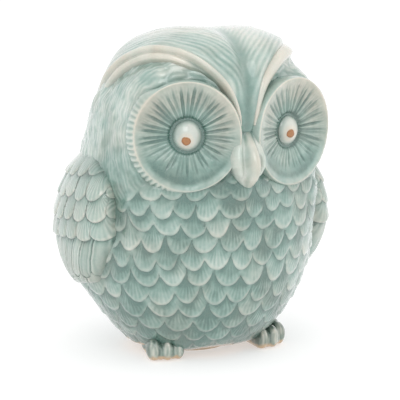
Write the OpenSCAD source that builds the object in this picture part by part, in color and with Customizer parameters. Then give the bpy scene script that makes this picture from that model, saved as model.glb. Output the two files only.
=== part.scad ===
// Figural owl money box in glazed stoneware: a hollow body with a coin slot in the back of the
// head, luted-on wings, feet, beak, eye discs and brows, and a rubber stopper in the base.
// Units are millimetres. +Z is up, the owl faces -Y and stands on z = 0.

/* [Belly] */
// Half width of the belly, left to right
belly_rx = 49; // [46:0.5:51]
// Half depth of the belly, front to back
belly_ry = 47; // [44:0.5:50]
// Half height of the belly's rounded form
belly_rz = 56; // [54:0.5:57]
// Height of the middle of the belly above the table
belly_z = 52; // [50:0.5:54]
// How far the upright axis of the belly lies behind the middle of the box
axis_y = 6.5; // [5.5:0.25:7.5]

/* [Head] */
// Half width of the head
head_rx = 43; // [41:0.5:45]
// Half depth of the head
head_ry = 46; // [44:0.5:48]
// Half height of the head
head_rz = 44; // [42:0.5:46]
// Height of the middle of the head
head_z = 90; // [88:0.5:92]
// Softness of the crease where the head meets the belly
neck_blend = 10; // [6:1:14]
// Wall of the hollow body
wall = 4.6; // [3.6:0.2:6]

/* [Coin slot] */
// Length of the coin slot across the back of the head
slot_length = 36; // [30:1:40]
// Height of the slot opening
slot_height = 5; // [4.4:0.1:6]
// Height of the slot above the table
slot_z = 100; // [94:1:106]

/* [Base and stopper] */
// Radius of the foot ring that stands on the table
ring_r = 17; // [16.5:0.25:17.5]
// Width of the foot ring
ring_w = 2.4; // [2:0.2:2.4]
// How far the foot ring lies behind the belly's axis
ring_back = 4; // [2:0.5:4]
// Radius of the stopper hole
bore_r = 12.5; // [11:0.25:12.5]
// Running clearance between the stopper and its hole, on the radius
plug_gap = 0.05; // [0.02:0.01:0.1]
// Length of the stopper above its flange
plug_length = 8; // [6:0.5:10]
// Depth of the recess that takes the stopper's flange
recess_depth = 2.4; // [2.2:0.1:2.5]

/* [Eyes] */
// Outer radius of an eye disc
disc_r = 20.9; // [19:0.1:21.5]
// Distance of an eye's middle from the centre line
disc_x = 23.2; // [22.8:0.2:24]
// Height of an eye's middle
disc_z = 94.2; // [92:0.2:96]
// Angle by which each eye looks outward
disc_yaw = 21; // [18:0.5:24]
// Angle by which each eye looks down
disc_tilt = 2.5; // [0:0.5:5]
// Radius of the eyeball where it meets its disc
eye_r = 6.1; // [5.4:0.1:6.5]
// Height of the eyeball's dome
eye_rise = 2.9; // [2.2:0.1:3.4]
// Radius of the pupil spot
pupil_r = 2.1; // [1.6:0.1:2.4]

/* [Beak] */
// Half width of the beak across its side lobes
beak_w = 6.2; // [5.4:0.1:6.8]
// How far the beak stands out in front of the face
beak_out = 9.5; // [8:0.25:11]
// Height of the beak's tip above the table
beak_tip_z = 74.6; // [73:0.2:76]
// Height of the beak's top
beak_top_z = 96; // [95:0.2:97]

/* [Brows] */
// Greatest radius of a brow's rolled band
brow_r = 3.4; // [2.8:0.1:3.8]

/* [Wings] */
// Greatest thickness of a wing above the belly
wing_out = 8.2; // [6:0.2:9]
// Height of a wing's shoulder
wing_top = 85; // [83:0.5:87]
// Height of a wing's lowest feather tips
wing_low = 24; // [22:0.5:28]

/* [Feet] */
// Half width of a toe
toe_w = 3; // [2.6:0.1:3.2]
// Height of a toe above the table
toe_h = 8.4; // [7:0.2:9]

/* [Hidden] */
$fn = 48;
eps = 0.01;
glaze = [0.70, 0.79, 0.75];
pale_glaze = [0.83, 0.86, 0.82];
clay = [0.72, 0.55, 0.42];
rubber = [0.90, 0.90, 0.87];
rust = [0.66, 0.42, 0.26];

head_c = [0, axis_y - 8, head_z];
disc_y = axis_y - 45.9;
face_back = 4.2;
base_cut_z = 2.2;
seat_gap = 0.03;
boss_r = 15.7;
floor_top = base_cut_z + wall;
boss_top = floor_top + 0.4;
ring_y = axis_y + ring_back;
star_c = [0, axis_y - 2, 66];
lon_n = 60;
lat_n = 40;

// ---------- body form ----------
function ease(t) = let(u = min(1, max(0, t))) u * u * (3 - 2 * u);
function blend_min(a, b, k) = let(h = max(k - abs(a - b), 0) / k) min(a, b) - h * h * k / 4;
function blend_max(a, b, k) = -blend_min(-a, -b, k);
function squircle(q, n) = pow(pow(abs(q.x), n) + pow(abs(q.y), n) + pow(abs(q.z), n), 1 / n);

function head_field(p) =
    let(q = [p.x / head_rx, (p.y - head_c.y) / head_ry, (p.z - head_c.z) / head_rz])
    (squircle(q, 2.3 + 0.5 * ease(0.5 - 0.9 * q.y)) - 1) * 43;

function belly_field(p) =
    let(q = [p.x / belly_rx, (p.y - axis_y) / belly_ry, (p.z - belly_z) / belly_rz])
    (squircle(q, 2.02 + 0.28 * ease(0.5 + 0.9 * q.z)) - 1) * 48;

disc_n = [sin(disc_yaw) * cos(disc_tilt), -cos(disc_yaw) * cos(disc_tilt), -sin(disc_tilt)];
function face_field(p) =
    ([abs(p.x), p.y, p.z] - [disc_x, disc_y, disc_z]) * disc_n + face_back;

function body_field(p) =
    blend_min(blend_max(head_field(p), face_field(p), 5), belly_field(p), neck_blend);

// distance along a ray at which the body's form, moved inward by inset, is crossed
function reach(c, d, inset, lo = 4, hi = 92, k = 15) =
    k == 0 ? (lo + hi) / 2
    : let(m = (lo + hi) / 2)
      body_field(c + m * d) + inset < 0 ? reach(c, d, inset, m, hi, k - 1)
                                        : reach(c, d, inset, lo, m, k - 1);

function star_points(inset, nu, nv) =
    concat([star_c + [0, 0, -reach(star_c, [0, 0, -1], inset)]],
           [for (j = [1:nv - 1], i = [0:nu - 1])
               let(a = 360 * i / nu, e = -90 + 180 * j / nv,
                   d = [cos(e) * cos(a), cos(e) * sin(a), sin(e)])
               star_c + reach(star_c, d, inset) * d],
           [star_c + [0, 0, reach(star_c, [0, 0, 1], inset)]]);

function star_faces(nu, nv) =
    let(top = 1 + nu * (nv - 1))
    concat([for (i = [0:nu - 1]) [0, 1 + i, 1 + (i + 1) % nu]],
           [for (j = [0:nv - 3], i = [0:nu - 1])
               let(a = 1 + j * nu + i, b = 1 + j * nu + (i + 1) % nu) [a, a + nu, b]],
           [for (j = [0:nv - 3], i = [0:nu - 1])
               let(a = 1 + j * nu + i, b = 1 + j * nu + (i + 1) % nu) [b, a + nu, b + nu]],
           [for (i = [0:nu - 1])
               [top, 1 + (nv - 2) * nu + (i + 1) % nu, 1 + (nv - 2) * nu + i]]);

module body_form(inset = 0, nu = lon_n, nv = lat_n)
    polyhedron(star_points(inset, nu, nv), star_faces(nu, nv), convexity = 4);

// keeps a cut form as one triangle mesh
module as_mesh() resize([0, 0, 0]) children();

module body_outside(inset = 0) difference() {
    body_form(inset);
    translate([-60, -60, base_cut_z - 60]) cube([120, 120, 60]);
}

// trims an added piece to the body's surface, with a hair of slip between them
module seat() body_outside(-seat_gap);

// closed skin over a grid of front points and a matching grid of back points
module slab(front, back, nu, nv) {
    n = nu * nv;
    polyhedron(
        concat(front, back),
        concat(
            [for (j = [0:nv - 2], i = [0:nu - 2])
                let(a = j * nu + i) [a, a + nu, a + nu + 1, a + 1]],
            [for (j = [0:nv - 2], i = [0:nu - 2])
                let(a = n + j * nu + i) [a, a + 1, a + nu + 1, a + nu]],
            [for (i = [0:nu - 2]) [i, i + 1, n + i + 1, n + i]],
            [for (i = [0:nu - 2]) let(a = (nv - 1) * nu + i) [a, n + a, n + a + 1, a + 1]],
            [for (j = [0:nv - 2]) let(a = j * nu) [a, n + a, n + a + nu, a + nu]],
            [for (j = [0:nv - 2])
                let(a = j * nu + nu - 1) [a, a + nu, n + a + nu, n + a]]),
        convexity = 6);
}

// ---------- body ----------
module shell() color(glaze) as_mesh() difference() {
    body_outside();
    difference() {
        body_form(wall, 40, 28);
        translate([-60, -60, floor_top - 60]) cube([120, 120, 60]);
    }
    translate([0, ring_y, -1]) cylinder(r = boss_r + 0.3, h = boss_top + 4, $fn = 64);
    coin_slot();
}

module coin_slot() translate([0, axis_y + 34, slot_z]) rotate([-90, 0, 0])
    linear_extrude(height = 60, center = true)
        offset(r = slot_height / 2 - 0.2, $fn = 16)
            square([slot_length - slot_height + 0.4, 0.4], center = true);

module base_plate() color(clay) translate([0, ring_y, 0]) rotate_extrude($fn = 72)
    polygon([[bore_r, recess_depth], [ring_r - ring_w, recess_depth], [ring_r - ring_w, 0.4],
             [ring_r - ring_w + 0.4, 0], [ring_r - 0.5, 0], [ring_r, 0.5],
             [ring_r, base_cut_z], [boss_r, base_cut_z], [boss_r, boss_top],
             [bore_r, boss_top]]);

module stopper() color(rubber) translate([0, ring_y, 0]) {
    r = bore_r - plug_gap;
    flange_r = ring_r - ring_w - 0.5;
    flange_top = recess_depth - 0.3;
    rotate_extrude($fn = 72)
        polygon([[0, flange_top - 0.2], [9.6, flange_top - 0.2], [9.6, 0.5],
                 [flange_r - 0.5, 0.5], [flange_r, 0.9], [flange_r, flange_top - 0.4],
                 [flange_r - 0.4, flange_top], [r, flange_top],
                 [r, recess_depth + plug_length - 2.6], [r - 0.8, recess_depth + plug_length],
                 [r - 2.6, recess_depth + plug_length], [r - 2.6, flange_top + 1.6],
                 [0, flange_top + 1.6]]);
    translate([-9.7, -1.5, 0.7]) cube([19.4, 3, flange_top - 0.6]);
}

// ---------- eyes ----------
module eye_frame(side) translate([side * disc_x, disc_y, disc_z])
    rotate([0, 0, side * disc_yaw]) rotate([90 + disc_tilt, 0, 0]) children();

module disc_form(side, grow = 0) eye_frame(side) rotate_extrude($fn = 72)
    polygon([[0, -13], [disc_r - 1.4 + grow, -13], [disc_r + grow, -1.5],
             [disc_r - 0.25 + grow, -0.5 + grow / 2],
             [disc_r - 0.9, 0], [disc_r - 1.8, -0.15], [disc_r - 3.6, -1.0], [13, -1.9],
             [9.4, -2.4], [8.2, -2.7], [7.4, -3.4], [0, -3.4]]);

module eye_disc(side) color(glaze) as_mesh() difference() {
    disc_form(side);
    seat();
}

eye_ball_r = (eye_r * eye_r + eye_rise * eye_rise) / (2 * eye_rise);
// the right pupil sits slightly out and down, the left one slightly in and down
function gaze(side) = side < 0 ? [13, -4] : [7, -12];

module gaze_frame(side) translate([0, 0, -3.4 + eye_rise - eye_ball_r])
    rotate([gaze(side)[0], gaze(side)[1], 0]) children();

pupil_cut = sqrt(eye_ball_r * eye_ball_r - pupil_r * pupil_r);

module eyeball(side) color(pale_glaze) eye_frame(side) difference() {
    translate([0, 0, -3.4 + eye_rise - eye_ball_r]) sphere(r = eye_ball_r, $fn = 64);
    translate([-20, -20, -43.4]) cube([40, 40, 40]);
    gaze_frame(side) translate([-5, -5, pupil_cut]) cube([10, 10, 5]);
}

module pupil(side) color(rust) eye_frame(side) gaze_frame(side)
    translate([0, 0, pupil_cut]) rotate_extrude($fn = 32)
        polygon([[0, 0], [pupil_r, 0], [pupil_r * 0.9, 0.35], [pupil_r * 0.6, 0.6],
                 [pupil_r * 0.25, 0.7], [0, 0.7]]);

// ---------- beak ----------
beak_nu = 21;
beak_nv = 17;
// half width and standing height along the beak, from its top (0) to its tip (1)
function beak_half(t) = beak_w * lookup(t, [[0, 0.34], [0.08, 0.62], [0.2, 0.88], [0.38, 1],
    [0.55, 0.95], [0.7, 0.74], [0.82, 0.5], [0.93, 0.3], [1, 0.12]]);
function beak_rise(t) = beak_out * lookup(t, [[0, 0.34], [0.1, 0.5], [0.25, 0.76], [0.42, 0.96],
    [0.58, 1], [0.72, 0.88], [0.85, 0.62], [0.94, 0.4], [1, 0.2]]);
function lobe(x, c, w) = exp(-pow((x - c) / w, 2));
// cross section: a tall middle ridge with a lower rounded lobe on each side
function beak_shape(u, t) =
    let(side = lookup(t, [[0, 0.3], [0.3, 0.7], [0.6, 0.62], [1, 0.2]]), a = abs(u))
    pow(max(0, 1 - pow(a, 4)), 0.5)
    * max(lobe(u, 0, 0.42), side * sqrt(max(0, 1 - pow((a - 0.64) / 0.38, 2))), 0.2);

module beak() color(pale_glaze) as_mesh() difference() {
    slab([for (j = [0:beak_nv - 1], i = [0:beak_nu - 1])
             let(t = j / (beak_nv - 1), u = sin(90 * (-1 + 2 * i / (beak_nu - 1))))
             [u * beak_half(t), -42.6 + axis_y - 8 - beak_rise(t) * beak_shape(u, t),
              beak_top_z + (beak_tip_z - beak_top_z) * t]],
         [for (j = [0:beak_nv - 1], i = [0:beak_nu - 1])
             let(t = j / (beak_nv - 1), u = sin(90 * (-1 + 2 * i / (beak_nu - 1))))
             [u * beak_half(t), -34 + axis_y - 8, beak_top_z + (beak_tip_z - beak_top_z) * t]],
         beak_nu, beak_nv);
    seat();
    disc_form(1, 2 * seat_gap);
    disc_form(-1, 2 * seat_gap);
}

// ---------- brows ----------
// middle line of the left brow, from beside the beak over the eye to the side of the head
brow_line = [[3.4, -45.6, 98], [4.2, -45.4, 103], [6, -43.8, 109.2], [8.6, -41.6, 114],
             [12, -39, 117.8], [16.4, -35.4, 121.4], [21.2, -30.8, 124.2], [26, -24.4, 125.6],
             [30, -16.8, 125.2], [33.6, -9.4, 122.6], [36.4, -1.6, 118.6], [38.4, 6, 113.8]];
brow_size = [0.5, 0.62, 0.8, 0.92, 1, 1, 1, 0.94, 0.84, 0.7, 0.54, 0.36];
brow_k = 12;

function unit(v) = v / norm(v);

module brow_form() {
    m = len(brow_line);
    pts = [for (j = [0:m - 1])
        let(p = brow_line[j] + [0, axis_y - 8, 0],
            t = unit(brow_line[min(m - 1, j + 1)] - brow_line[max(0, j - 1)]),
            out = unit(p - [0, axis_y - 8, head_z]),
            s = unit(cross(t, out)),
            o = cross(s, t))
        for (i = [0:brow_k - 1])
            let(a = 360 * i / brow_k, r = brow_r * brow_size[j])
            p + s * (r * cos(a)) + o * (0.85 * r * sin(a))];
    polyhedron(pts,
        concat([[for (i = [0:brow_k - 1]) i]],
               [for (j = [0:m - 2], i = [0:brow_k - 1])
                   let(a = j * brow_k + i, b = j * brow_k + (i + 1) % brow_k)
                   [a, a + brow_k, b + brow_k, b]],
               [[for (i = [0:brow_k - 1]) m * brow_k - 1 - i]]),
        convexity = 6);
}

module brow(side) color(pale_glaze) as_mesh() difference() {
    if (side > 0) brow_form();
    else mirror([1, 0, 0]) brow_form();
    seat();
    disc_form(side, 2 * seat_gap);
}

// ---------- wings ----------
wing_nu = 19;
wing_nv = 21;
// front and rear edges of a wing as angles about the belly's axis, by height (t = 0 at the top)
function wing_front(t) = lookup(t, [[0, -3], [0.05, -11], [0.13, -21], [0.25, -27], [0.35, -28.5],
    [0.54, -28], [0.62, -24], [0.78, -18], [0.84, -10], [0.92, 14], [1, 34]]);
function wing_rear(t) = lookup(t, [[0, 16], [0.08, 30], [0.2, 44], [0.4, 54], [0.6, 58], [0.8, 57],
    [0.92, 53], [1, 44]]);
function wing_height(t) = wing_out * lookup(t, [[0, 0.05], [0.05, 0.18], [0.09, 0.32],
    [0.13, 0.46], [0.17, 0.6], [0.25, 0.76], [0.34, 0.88], [0.42, 0.97], [0.5, 1.02], [0.6, 1.04],
    [0.66, 1.02], [0.74, 0.94], [0.82, 0.74], [0.88, 0.5], [0.94, 0.3], [1, 0.12]]);
// horizontal radius of the body from its axis at angle a behind the side, at height z
function side_reach(a, z) = reach([0, axis_y, z], [cos(a), sin(a), 0], 0, 10, 70, 14);

module wing_form() {
    cells = [for (j = [0:wing_nv - 1], i = [0:wing_nu - 1])
        let(t = j / (wing_nv - 1), u = -1 + 2 * i / (wing_nu - 1),
            us = sin(90 * u) * 0.6 + u * 0.4,
            z = wing_top + (wing_low - wing_top) * t,
            a = wing_front(t) + (wing_rear(t) - wing_front(t)) * (us + 1) / 2,
            h = wing_height(t) * pow(max(0, 1 - pow(abs(us), 8)), 0.5),
            r = side_reach(a, z))
        [a, z, r, h]];
    slab([for (c = cells) [0, axis_y, c[1]] + (c[2] + c[3]) * [cos(c[0]), sin(c[0]), 0]],
         [for (c = cells) [0, axis_y, c[1]] + (c[2] - 2.5) * [cos(c[0]), sin(c[0]), 0]],
         wing_nu, wing_nv);
}

module wing(side) color(glaze) as_mesh() difference() {
    if (side > 0) wing_form();
    else mirror([1, 0, 0]) wing_form();
    seat();
}

// ---------- feet ----------
// The feet are set a little towards the owl's left, and the right foot turns outwards.
// Front end of each toe as [across, back, how far its rear end lies further across]
toes_left = [[22.4, -12.6, -0.9], [27.2, -12.2, -1.1], [32, -8.6, -1.3]];
toes_right = [[16.4, -12.8, -3.8], [21, -12.8, -4], [26, -11, -4.4]];

module toe(p) hull() {
    translate([p[0], p[1] + axis_y - 8, toe_h * 0.44])
        scale([toe_w, 4.4, toe_h * 0.5]) sphere(r = 1, $fn = 20);
    translate([p[0] + p[2], p[1] + 12 + axis_y - 8, toe_h * 0.5])
        scale([toe_w * 0.9, 4, toe_h * 0.42]) sphere(r = 1, $fn = 16);
}

// the pad that joins the toes under the belly
module foot_pad(inner, outer) hull() {
    translate([inner, -4 + axis_y - 8, toe_h * 0.4]) scale([3.6, 7, toe_h * 0.5]) sphere(r = 1, $fn = 20);
    translate([outer, -1 + axis_y - 8, toe_h * 0.4]) scale([3.6, 7, toe_h * 0.5]) sphere(r = 1, $fn = 20);
}

module foot_form(toes, inner, outer) intersection() {
    union() {
        for (p = toes) toe(p);
        foot_pad(inner, outer);
    }
    translate([0, -60, 0]) cube([60, 120, 20]);
}

module foot(side) color(pale_glaze) as_mesh() difference() {
    if (side > 0) foot_form(toes_left, 23.5, 29.5);
    else mirror([1, 0, 0]) foot_form(toes_right, 17.4, 22.4);
    seat();
    translate([0, ring_y, -1]) cylinder(r = ring_r + 0.8, h = base_cut_z + 1.5, $fn = 64);
}

shell();
base_plate();
stopper();
wing(-1);  // right_wing
wing(1);  // left_wing
foot(-1);  // right_foot
foot(1);  // left_foot
beak();
eye_disc(-1);  // right_eye_disc
eye_disc(1);  // left_eye_disc
eyeball(-1);  // right_eyeball
eyeball(1);  // left_eyeball
pupil(-1);  // right_pupil
pupil(1);  // left_pupil
brow(-1);  // right_brow
brow(1);  // left_brow
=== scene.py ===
import bpy
import math
import numpy as np
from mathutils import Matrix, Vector
from mathutils.kdtree import KDTree


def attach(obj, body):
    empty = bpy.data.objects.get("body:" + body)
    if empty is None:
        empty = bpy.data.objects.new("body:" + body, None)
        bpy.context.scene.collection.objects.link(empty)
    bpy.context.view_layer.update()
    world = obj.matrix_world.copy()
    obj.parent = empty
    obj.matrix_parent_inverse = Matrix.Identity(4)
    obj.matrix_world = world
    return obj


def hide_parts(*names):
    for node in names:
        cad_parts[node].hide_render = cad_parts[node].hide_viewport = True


# Shapes are in millimetres, in the part's frame; lights and materials are in metres.
MM = 0.001
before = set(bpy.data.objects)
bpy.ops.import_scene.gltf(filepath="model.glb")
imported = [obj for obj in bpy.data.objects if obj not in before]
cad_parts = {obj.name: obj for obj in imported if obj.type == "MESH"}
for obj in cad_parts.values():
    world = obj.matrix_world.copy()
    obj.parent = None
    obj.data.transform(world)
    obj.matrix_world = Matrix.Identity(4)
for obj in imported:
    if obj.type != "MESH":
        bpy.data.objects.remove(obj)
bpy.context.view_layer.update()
rng = np.random.default_rng(7)


# ---- small maths helpers
def ease(t):
    t = np.clip(t, 0.0, 1.0)
    return t * t * (3 - 2 * t)


def ramp(a, b, x):
    """0 at a and 1 at b, level outside them; b may be the smaller one."""
    return ease((x - a) / (b - a))


def bell(x, width):
    """1 at nought, fading out to both sides."""
    return np.exp(-(x / width) ** 2)


def dome(q, power=2):
    """1 in the middle, 0 at q = -1 and 1 and beyond."""
    return np.clip(1 - np.abs(q) ** power, 0, 1)


def rounded(q):
    return np.sqrt(1 - (1 - np.clip(q, 0, 1)) ** 2)


def circle(n):
    return np.arange(n) / n * 2 * math.pi


def blend_min(a, b, k):
    h = np.maximum(k - np.abs(a - b), 0) / k
    return np.minimum(a, b) - h * h * k / 4


def blend_max(a, b, k):
    return -blend_min(-a, -b, k)


def squircle(q, n):
    return (np.abs(q) ** n[..., None]).sum(-1) ** (1 / n)


def unit(v):
    return v / np.maximum(np.linalg.norm(v, axis=-1, keepdims=True), 1e-9)


def folded(p):
    """The points, brought over to the owl's left half."""
    return np.concatenate([np.abs(p[..., :1]), p[..., 1:]], -1)


def disc_coords(p):
    """Across, up and out from the middle of the nearer eye disc."""
    q = folded(p) - DISC_C
    return q @ DISC_U, q @ DISC_W, q @ DISC_N


def bearing(turn, rise):
    """Directions at an angle round from the front and an angle up."""
    return np.stack([np.cos(rise) * np.sin(turn), -np.cos(rise) * np.cos(turn),
                     np.sin(rise)], -1)


def soften(v, passes, closed=True):
    """Averages each value with its neighbours; a closed grid joins on itself across."""
    v = v.copy()
    for _ in range(passes):
        v[1:-1] = (v[:-2] + 2 * v[1:-1] + v[2:]) / 4
        if closed:
            v = (np.roll(v, 1, 1) + 2 * v + np.roll(v, -1, 1)) / 4
        else:
            v[:, 1:-1] = (v[:, :-2] + 2 * v[:, 1:-1] + v[:, 2:]) / 4
    return v


# ---- numbers shared with the CAD
AXIS_Y = 6.5
HEAD_Y = AXIS_Y - 8
HEAD_C = np.array([0.0, HEAD_Y, 90.0])
HEAD_R = np.array([43.0, 46.0, 44.0])
BELLY_C = np.array([0.0, AXIS_Y, 52.0])
BELLY_R = np.array([49.0, 47.0, 56.0])
STAR_C = np.array([0.0, AXIS_Y - 2, 66.0])
DISC_C = np.array([23.2, AXIS_Y - 45.9, 94.2])
YAW = math.radians(21)
TILT = math.radians(2.5)
DISC_N = bearing(YAW, -TILT)
DISC_U = np.array([math.cos(YAW), math.sin(YAW), 0.0])
DISC_W = np.cross(DISC_N, DISC_U)
DISC_TALL = 1.025
FACE_BACK = 4.2
WALL = 4.6
CUT_Z = 2.2
SLOT_Z, SLOT_LONG, SLOT_TALL = 100.0, 36.0, 5.0
BASE_Y = AXIS_Y + 4
OPENING_R = 16.0


# ---- the body's smooth form
def body_field(p):
    """Rough distance outside the body: a head with two flats for the discs, and a belly."""
    qh = (p - HEAD_C) / HEAD_R
    head = (squircle(qh, 2.3 + 0.5 * ease(0.5 - 0.9 * qh[..., 1])) - 1) * 43
    qb = (p - BELLY_C) / BELLY_R
    belly = (squircle(qb, 2.02 + 0.28 * ease(0.5 + 0.9 * qb[..., 2])) - 1) * 48
    face = (folded(p) - DISC_C) @ DISC_N + FACE_BACK
    return blend_min(blend_max(head, face, 5.0), belly, 10.0)


def reach(c, d, inset=0.0, lo=4.0, hi=95.0, steps=22):
    """How far the surface lies from c along d, found by halving."""
    lo, hi = np.full(d.shape[:-1], lo), np.full(d.shape[:-1], hi)
    for _ in range(steps):
        m = (lo + hi) / 2
        inside = body_field(c + m[..., None] * d) + inset < 0
        lo, hi = np.where(inside, m, lo), np.where(inside, hi, m)
    return (lo + hi) / 2


def body_normal(p, e=0.25):
    g = np.zeros_like(p)
    for i, step in enumerate(np.eye(3) * e):
        g[..., i] = body_field(p + step) - body_field(p - step)
    return unit(g)


# ---- repeatable chance
LATTICE = rng.random((32, 32, 32)) * 2 - 1
SCATTER = rng.random(65536) * 2 - 1


def noise(p, size, seed=0):
    """Smooth values of about -1 to 1 that change over the given size."""
    q = np.asarray(p, float) / size + seed * 7.31 + 1000.0
    i = np.floor(q).astype(int)
    f = ease(q - i)
    out = 0.0
    for corner in np.ndindex(2, 2, 2):
        w = np.prod([f[..., k] if c else 1 - f[..., k] for k, c in enumerate(corner)], axis=0)
        a, b, c = np.moveaxis((i + corner) % 32, -1, 0)
        out = out + w * LATTICE[a, b, c]
    return out


def cell(i, j, seed=0):
    """One value of -1 to 1 for each pair of whole numbers."""
    return SCATTER[(np.asarray(i).astype(int) * 7919 + np.asarray(j).astype(int) * 104729
                    + seed * 1299709) % 65536]


# ---- meshes
def set_values(me, values):
    """Writes the values that the materials read at each point."""
    for key, v in values.items():
        a = me.attributes.get(key) or me.attributes.new(key, "FLOAT", "POINT")
        a.data.foreach_set("value", np.asarray(v, dtype=np.float32).ravel())


def points_of(me):
    co = np.zeros(len(me.vertices) * 3)
    me.vertices.foreach_get("co", co)
    return co.reshape(-1, 3) / MM


def new_object(name, data):
    ob = bpy.data.objects.new(name, data)
    bpy.context.scene.collection.objects.link(ob)
    return ob


def mesh_object(name, verts_mm, faces, values):
    me = bpy.data.meshes.new(name)
    me.from_pydata((np.asarray(verts_mm) * MM).tolist(), [], [list(f) for f in faces])
    me.update()
    me.shade_smooth()
    set_values(me, values)
    return new_object(name, me)


def grid_faces(nu, nv, wrap=False):
    j, i = np.meshgrid(np.arange(nv - 1), np.arange(nu if wrap else nu - 1), indexing="ij")
    a = j * nu + i
    b = j * nu + (i + 1) % nu
    return np.stack([a, b, b + nu, a + nu], -1).reshape(-1, 4)


def ring_object(name, rings, values=None, side=1):
    """A closed skin over stacked rings. Each value comes as (rings, low end, top end)."""
    nv, nu = rings.shape[:2]
    low, top, last = nu * nv, nu * nv + 1, nu * (nv - 1)
    faces = grid_faces(nu, nv, wrap=True).tolist()
    faces += [((i + 1) % nu, i, low) for i in range(nu)]
    faces += [(last + i, last + (i + 1) % nu, top) for i in range(nu)]
    verts = np.vstack([rings.reshape(-1, 3), rings[0].mean(0), rings[-1].mean(0)])
    full = {k: np.append(v, ends) for k, (v, *ends) in (values or {}).items()}
    ob = mesh_object(name, verts, faces, full)
    if side < 0:
        ob.data.flip_normals()
    return ob


def slab_object(name, front, back, values, side=1):
    """A closed slab between two (down, across, 3) grids; the values are the front's."""
    front, back = front * [side, 1, 1], back * [side, 1, 1]
    nv, nu = front.shape[:2]
    n = nu * nv
    quads = grid_faces(nu, nv)
    grid = np.arange(n).reshape(nv, nu)
    rim = np.concatenate([grid[0, :-1], grid[:-1, -1], grid[-1, :0:-1], grid[:0:-1, 0]])
    walls = [(b, a, n + a, n + b) for a, b in zip(rim, np.roll(rim, -1))]
    verts = np.vstack([front.reshape(-1, 3), back.reshape(-1, 3)])
    full = {k: np.append(v, v) for k, v in values.items()}
    ob = mesh_object(name, verts, [*quads, *(quads[:, ::-1] + n), *walls], full)
    across, down_it = np.diff(front[:-1], axis=1), np.diff(front[:, :-1], axis=0)
    if (np.cross(across, down_it) * (front - back)[:-1, :-1]).sum() < 0:
        ob.data.flip_normals()
    return ob


def bake(ob):
    """Applies ob's modifiers."""
    deps = bpy.context.evaluated_depsgraph_get()
    me = bpy.data.meshes.new_from_object(ob.evaluated_get(deps))
    ob.modifiers.clear()
    old, ob.data = ob.data, me
    bpy.data.meshes.remove(old)
    me.name = ob.name
    me.shade_smooth()
    return me


def cut(target, tools):
    for tool in tools:
        m = target.modifiers.new("cut", "BOOLEAN")
        m.operation = "DIFFERENCE"
        m.solver = "MANIFOLD"
        m.object = tool
    bake(target)
    for tool in tools:
        bpy.data.objects.remove(tool)


def paint(ob, source_points, values, near_mm=1.2):
    """Gives each vertex the values of the nearest source point, or else their far value."""
    tree = KDTree(len(source_points))
    for i, q in enumerate(source_points):
        tree.insert(q, i)
    tree.balance()
    found = np.array([tree.find(q)[1:3] for q in points_of(ob.data)])
    i = found[:, 0].astype(int)
    away = found[:, 1] > near_mm
    set_values(ob.data, {k: np.where(away, far, v[i]) for k, (v, far) in values.items()})


# ---- feathers and strokes
def feathers(a, t, rows, seed=0):
    """Overlapping feathers. t runs down in mm, and a runs across, in mm or round the body in
    radians. Each row is (tip t, gap, shift, half width, round length, jitter), and round the body
    also (radius, count)."""
    owner = np.full(a.shape, -1)
    out = {k: np.zeros(a.shape) for k in ("edge", "s", "u", "id")}
    above = np.full(a.shape, 9.0)
    running = np.full(a.shape, 9.0)
    for k, (tip, gap, shift, half, rnd, jit, *ring) in enumerate(rows):
        radius, count = ring or (1.0, 0)
        x = a * radius
        i = np.round((x - shift) / gap)
        j = np.mod(i, count) if count else i
        c = shift + i * gap + jit * 0.5 * cell(j, k, seed)
        low_end = tip + jit * 0.7 * cell(j, k, seed + 1)
        half_w = half * (1 + 0.06 * jit * cell(j, k, seed + 2))
        du = (x - c) / half_w
        dt = np.maximum(t - (low_end - rnd), 0) / rnd
        f = np.sqrt(du * du + dt * dt)
        dist = (1 - f) * np.minimum(half_w, rnd)
        hit = (f < 1) & (owner < 0)
        owner = np.where(hit, k, owner)
        for key, v in zip(out, (dist, low_end - t, du, cell(j, k, seed + 3))):
            out[key] = np.where(hit, v, out[key])
        above = np.where(hit, running, above)
        running = np.minimum(running, np.maximum(-dist, 0))
    out["above"] = np.where(owner < 0, running, above)
    out["owner"] = owner
    return out


def edge_lines(edge, above):
    """Signed distance to the nearest feather edge on show, and how far to trust it."""
    phi = np.where(edge < above, edge, -above)
    return np.clip(phi, -4, 4), ramp(0.5, 1.8, np.abs(edge - above))


def strokes(lat, lam, gap, length, seed):
    """Long tapering ridges, gap mm apart and about length mm long, with staggered ends."""
    i = np.floor(lat / gap)
    du = 2 * (lat / gap - i) - 1
    f = lam / length + 0.5 * cell(i, 5, seed) + 0.5 * (i % 2)
    j = np.floor(f)
    f = f - j
    taper = np.clip(4 * f * (1 - f), 0, 1) ** 0.5
    ridge = np.clip(taper ** 2 - du * du, 0, 1) ** 0.6
    return ridge * (0.8 + 0.3 * cell(i, j, seed)), cell(i, j, seed + 1), taper


def wave(lat, gap):
    """Phase whose sine peaks in the middle of each stroke."""
    return 2 * math.pi * lat / gap - math.pi / 2


# Distance down the body's outline, nought at z = 80
DOWN_Z = np.linspace(128, 3, 600)
DOWN_R = 48 * np.sqrt(np.maximum(1 - ((np.minimum(DOWN_Z, 70) - 52) / 54) ** 2, 0.02))
DOWN_T = np.append(0, np.cumsum(np.hypot(np.diff(DOWN_Z), np.diff(DOWN_R))))
DOWN_T -= np.interp(-80, -DOWN_Z, DOWN_T)
# Feathers round the body, up to each distance down it
ROUND = ((10, 38), (24, 35), (39, 31), (56, 27), (math.inf, 22))
TOP_ROW, LAST_ROW = -36.0, 92.0


def down(z):
    return np.interp(-z, -DOWN_Z, DOWN_T)


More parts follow.
